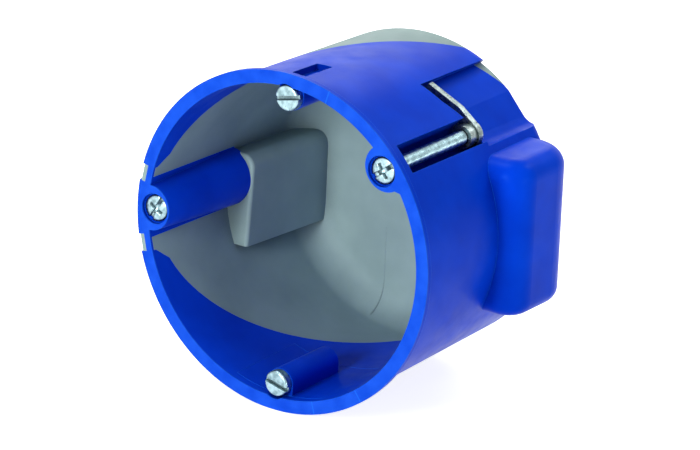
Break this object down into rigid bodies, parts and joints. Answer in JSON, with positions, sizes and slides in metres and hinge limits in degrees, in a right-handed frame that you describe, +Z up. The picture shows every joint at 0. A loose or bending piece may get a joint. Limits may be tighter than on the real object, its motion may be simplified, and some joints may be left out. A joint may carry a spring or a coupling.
{
  "type": "socket back box",
  "caption": "Round cavity-wall back box with a hard rim and shell, a soft rear membrane, device screws and swing-out claws on long screws.",
  "frame": {"origin": "centre of the rim's front face, on the cup's axis", "axes": "the mouth faces -Y and +Y runs into the wall; +Z is up, through the upper device screw; +X is towards the side bulge"},
  "size_m": [0.0733, 0.0515, 0.0704],
  "materials": {
    "shell_plastic": "satin moulded thermoplastic, royal blue",
    "membrane_soft": "soft matt elastomer, mid grey",
    "screw_zinc": "bright zinc plate",
    "claw_zinc": "bright zinc plate on stamped sheet"
  },
  "bodies": {
    "housing": {"front_shell": "shell_plastic", "rear_membrane": "membrane_soft"},
    "claw_right": {"claw_right": "claw_zinc"},
    "claw_left": {"claw_left": "claw_zinc"},
    "claw_screw_right": {"claw_screw_right": "screw_zinc"},
    "claw_screw_left": {"claw_screw_left": "screw_zinc"},
    "device_screw_top": {"device_screw_top": "screw_zinc"},
    "device_screw_bottom": {"device_screw_bottom": "screw_zinc"}
  },
  "joints": [
    {"name": "claw_right_swing", "type": "hinge", "parent": "housing", "child": "claw_right", "pos_m": [0.02332, 0.03, 0.02027], "axis": [0, 1, 0], "range_deg": [0, 90]},
    {"name": "claw_left_swing", "type": "hinge", "parent": "housing", "child": "claw_left", "pos_m": [-0.0309, 0.03, 0], "axis": [0, 1, 0], "range_deg": [0, 90]},
    {"name": "claw_screw_right_turn", "type": "hinge", "parent": "housing", "child": "claw_screw_right", "pos_m": [0.02332, 0.001, 0.02027], "axis": [0, 1, 0], "continuous": true},
    {"name": "claw_screw_left_turn", "type": "hinge", "parent": "housing", "child": "claw_screw_left", "pos_m": [-0.0309, 0.001, 0], "axis": [0, 1, 0], "continuous": true},
    {"name": "device_screw_top_turn", "type": "hinge", "parent": "housing", "child": "device_screw_top", "pos_m": [0, 0.001, 0.03], "axis": [0, 1, 0], "continuous": true},
    {"name": "device_screw_bottom_turn", "type": "hinge", "parent": "housing", "child": "device_screw_bottom", "pos_m": [0, 0.001, -0.03], "axis": [0, 1, 0], "continuous": true}
  ]
}
